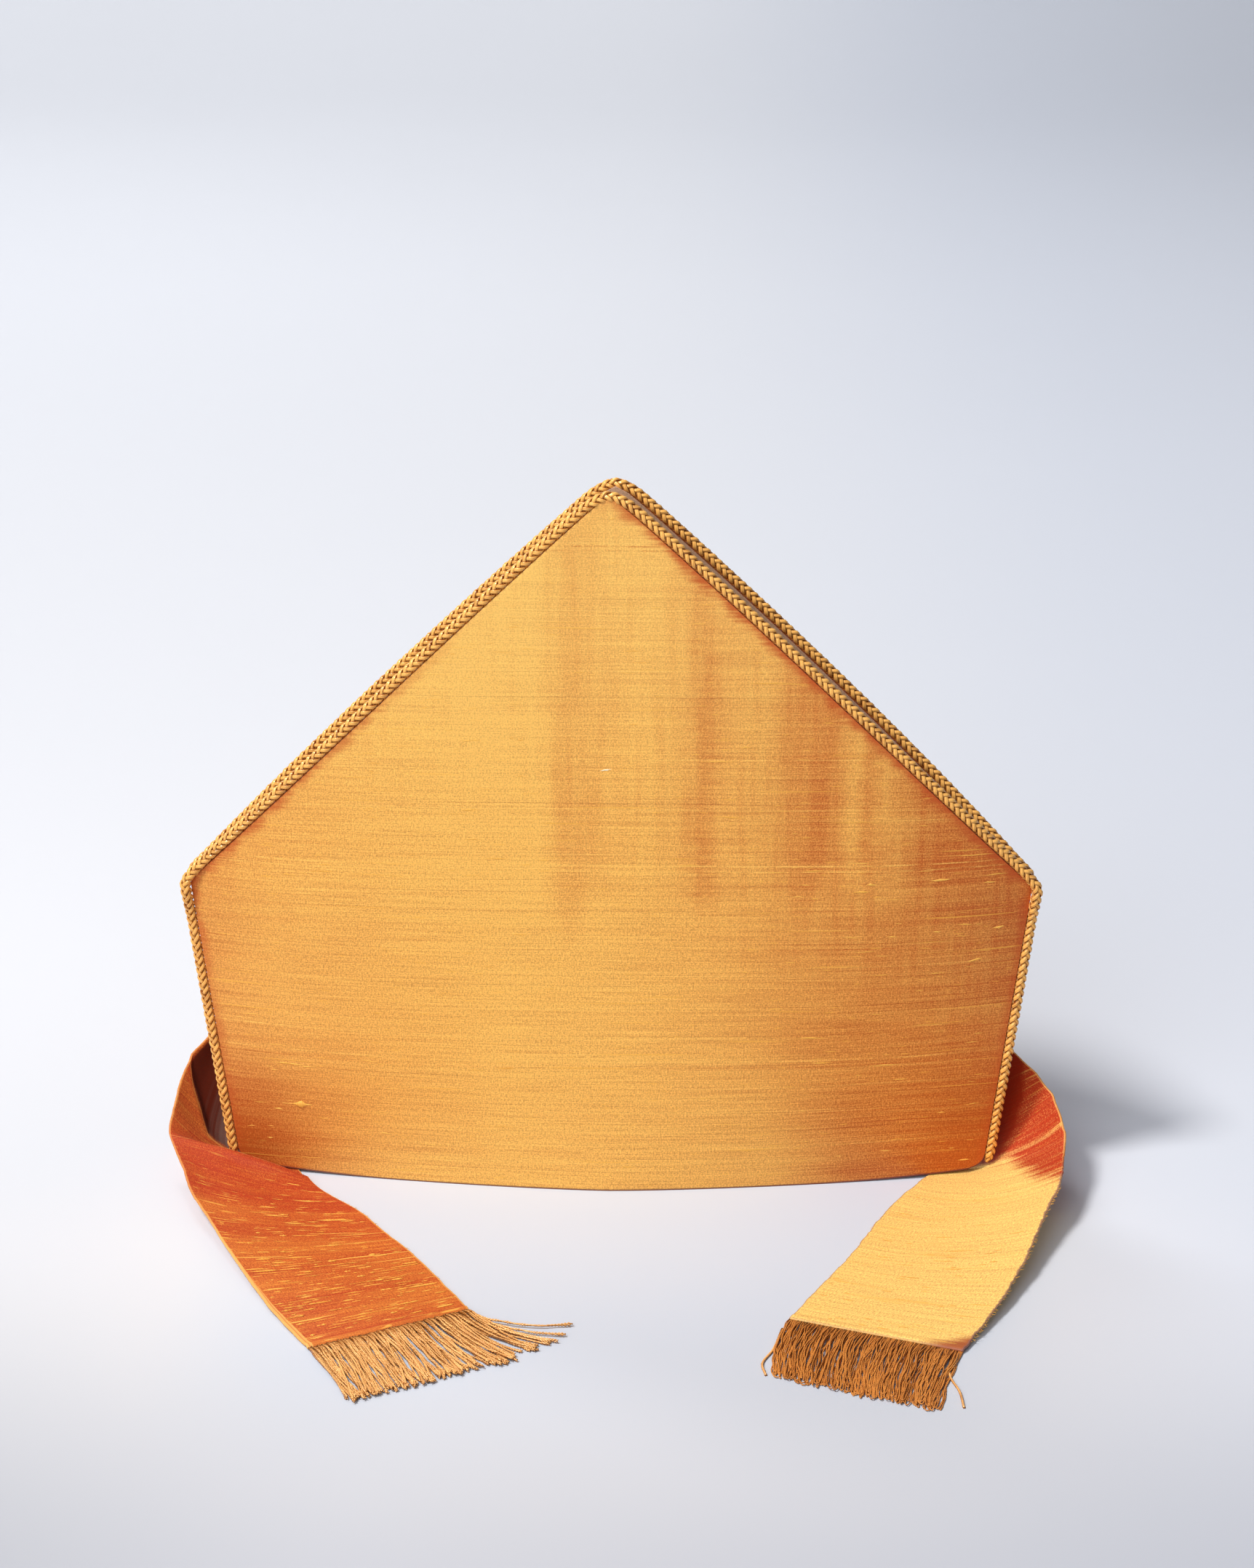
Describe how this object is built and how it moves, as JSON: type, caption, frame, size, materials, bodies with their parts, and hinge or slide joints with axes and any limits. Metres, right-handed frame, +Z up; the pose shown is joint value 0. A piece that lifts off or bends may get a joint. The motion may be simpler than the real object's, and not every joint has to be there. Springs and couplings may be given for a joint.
{
  "type": "bishop mitre",
  "caption": "Bishop mitre of stiff shot-silk panels edged with plaited cord, standing slightly open, with fringed lappets brought round to lie in front.",
  "frame": {"origin": "centre of the bounding box's base, on the surface that the mitre stands on", "axes": "+Z up to the horns' points, +X along the side-to-side width, -Y out of the front panel towards the fringed ends"},
  "size_m": [0.3446, 0.259, 0.2771],
  "materials": {
    "front_silk": "gold and orange shot silk with slubs",
    "back_silk": "gold and orange shot silk with slubs",
    "gusset_cloth": "plain taupe cloth",
    "front_plait": "plaited gold cord",
    "back_plait": "plaited gold cord",
    "left_silk": "shot silk seen along its red-orange threads",
    "right_silk": "shot silk seen along its yellow threads",
    "left_strands": "pale gold twisted silk fringe",
    "right_strands": "bronze silk fringe"
  },
  "bodies": {
    "root": {"front_panel": "front_silk", "back_panel": "back_silk", "gusset": "gusset_cloth", "front_cord": "front_plait", "back_cord": "back_plait", "left_lappet": "left_silk", "right_lappet": "right_silk", "left_fringe": "left_strands", "right_fringe": "right_strands"}
  },
  "joints": []
}
